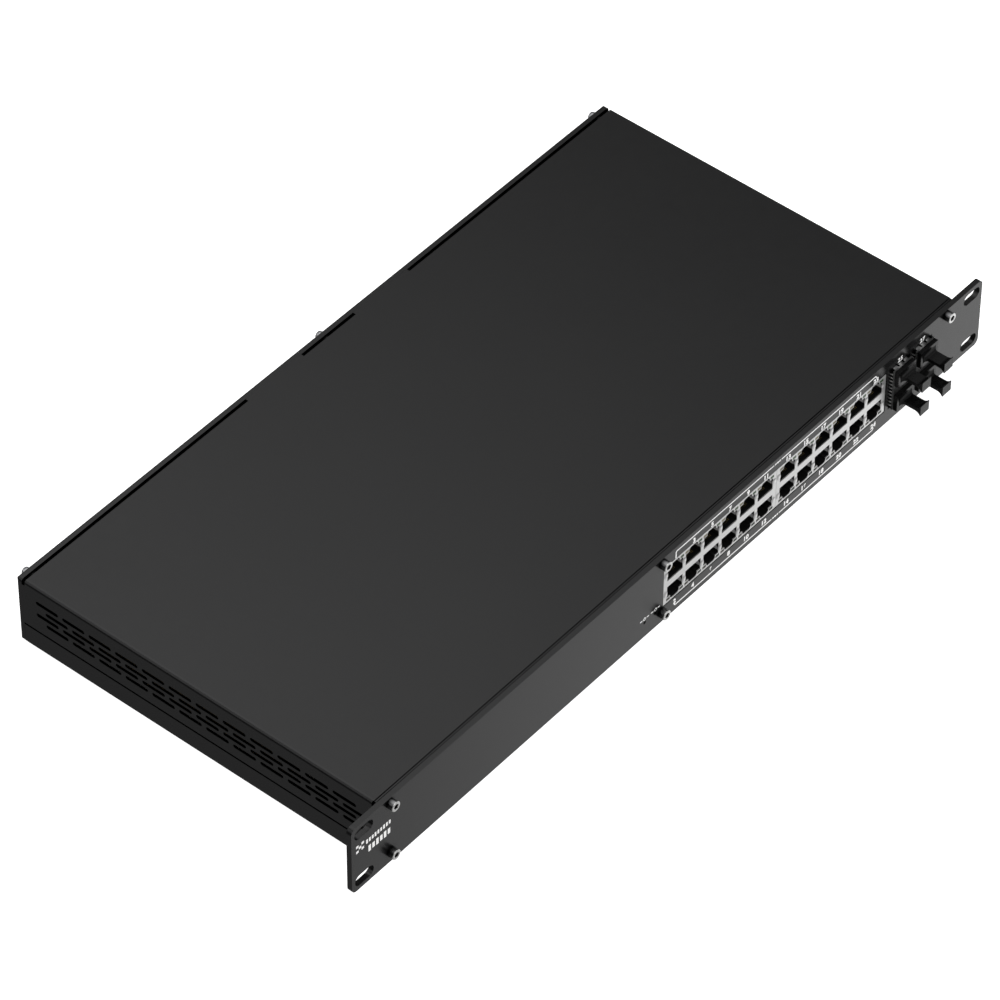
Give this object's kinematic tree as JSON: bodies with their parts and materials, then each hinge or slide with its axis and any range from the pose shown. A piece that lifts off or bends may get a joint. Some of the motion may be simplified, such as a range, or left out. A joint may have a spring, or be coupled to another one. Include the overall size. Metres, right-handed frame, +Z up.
{
  "type": "rackmount network switch",
  "caption": "Low, wide sheet-metal network switch with rack ears, two rows of cable jacks, stacked module cages with dust plugs and rear cooling fans.",
  "frame": {"origin": "centre of the four rack slots, on the rear face of the front plate, which is the face that meets the rack rails", "axes": "+X to the right as seen from the front, +Y towards the rear, +Z up"},
  "size_m": [0.4826, 0.2488, 0.0436],
  "materials": {
    "black_powder_coat": "fine satin powder coat",
    "dark_screw_steel": "blackened turned steel, bright end ring",
    "zinc_steel": "zinc plated",
    "brass_standoff": "turned brass",
    "green_laminate": "solder mask",
    "tan_laminate": "bare laminate",
    "black_housing": "moulded",
    "nickel_shield": "bright nickel plate",
    "gold_contact": "gold plate",
    "amber_lens": "unlit diffusing lens",
    "green_lens": "unlit diffusing lens",
    "spring_steel": "spring strip",
    "plug_rubber": "moulded soft plastic",
    "clear_pipe": "clear moulding",
    "white_plastic": "moulded",
    "chip_black": "moulded epoxy",
    "black_anodised": "black anodised",
    "ferrite": "ground ferrite",
    "capacitor_sleeve": "shrink sleeve",
    "insulating_sheet": "translucent sheet",
    "transformer_wrap": "wrapped tape and ferrite",
    "plain_aluminium": "extruded",
    "copper_winding": "enamelled copper",
    "yellow_film": "moulded box",
    "blade_metal": "nickel plate",
    "wire_brown": "extruded sleeve",
    "wire_red": "extruded sleeve",
    "fan_plastic": "moulded",
    "rotor_plastic": "moulded",
    "black_screw": "blackened"
  },
  "bodies": {
    "case": {"front_plate": "black_powder_coat", "base_tray": "black_powder_coat", "top_cover": "black_powder_coat", "rear_panel": "black_powder_coat", "front_screws": "dark_screw_steel", "front_nut_blocks": "zinc_steel", "rear_screws": "zinc_steel", "rear_standoffs": "zinc_steel", "main_board": "green_laminate", "board_standoffs": "brass_standoff", "board_screws": "zinc_steel", "jack_housing_left": "black_housing", "jack_housing_right": "black_housing", "jack_shield_left": "nickel_shield", "jack_shield_right": "nickel_shield", "jack_contacts": "gold_contact", "amber_lights": "amber_lens", "green_lights": "green_lens", "module_cage_left": "nickel_shield", "module_cage_right": "nickel_shield", "spring_fingers_left": "spring_steel", "spring_fingers_right": "spring_steel", "module_connectors": "black_housing", "status_light_pipe": "clear_pipe", "status_light": "white_plastic", "reset_switch": "black_housing", "switch_chip": "chip_black", "switch_heatsink": "black_anodised", "line_chips": "chip_black", "line_heatsinks": "black_anodised", "small_chips": "chip_black", "board_coils": "ferrite", "board_capacitors": "capacitor_sleeve", "supply_board": "tan_laminate", "supply_standoffs": "brass_standoff", "supply_screws": "zinc_steel", "supply_insulator": "insulating_sheet", "transformer": "transformer_wrap", "supply_capacitors": "capacitor_sleeve", "supply_heatsinks": "plain_aluminium", "filter_choke": "copper_winding", "filter_parts": "yellow_film", "mains_inlet": "black_housing", "inlet_blades": "blade_metal", "inlet_screws": "zinc_steel", "mains_wires": "wire_brown", "dc_connectors": "white_plastic", "dc_wires": "wire_red", "ground_screw": "zinc_steel", "fan_frame_left": "fan_plastic", "fan_frame_right": "fan_plastic", "fan_screws": "black_screw", "fan_leads": "wire_red"},
    "plug_upper_left": {"dust_plug_upper_left": "plug_rubber"},
    "plug_lower_left": {"dust_plug_lower_left": "plug_rubber"},
    "plug_upper_right": {"dust_plug_upper_right": "plug_rubber"},
    "plug_lower_right": {"dust_plug_lower_right": "plug_rubber"},
    "reset_button": {"reset_plunger": "white_plastic"},
    "rotor_left": {"fan_rotor_left": "rotor_plastic"},
    "rotor_right": {"fan_rotor_right": "rotor_plastic"}
  },
  "joints": [
    {"name": "plug_upper_left_slide", "type": "slide", "parent": "case", "child": "plug_upper_left", "axis": [0, -1, 0], "range_m": [0, 0.014]},
    {"name": "plug_lower_left_slide", "type": "slide", "parent": "case", "child": "plug_lower_left", "axis": [0, -1, 0], "range_m": [0, 0.014]},
    {"name": "plug_upper_right_slide", "type": "slide", "parent": "case", "child": "plug_upper_right", "axis": [0, -1, 0], "range_m": [0, 0.014]},
    {"name": "plug_lower_right_slide", "type": "slide", "parent": "case", "child": "plug_lower_right", "axis": [0, -1, 0], "range_m": [0, 0.014]},
    {"name": "reset_press", "type": "slide", "parent": "case", "child": "reset_button", "axis": [0, 1, 0], "range_m": [0, 0.0003]},
    {"name": "fan_left_spin", "type": "hinge", "parent": "case", "child": "rotor_left", "pos_m": [-0.0402, 0.2138, 0.00015], "axis": [0, 1, 0], "continuous": true},
    {"name": "fan_right_spin", "type": "hinge", "parent": "case", "child": "rotor_right", "pos_m": [0.0402, 0.2138, 0.00015], "axis": [0, 1, 0], "continuous": true}
  ]
}
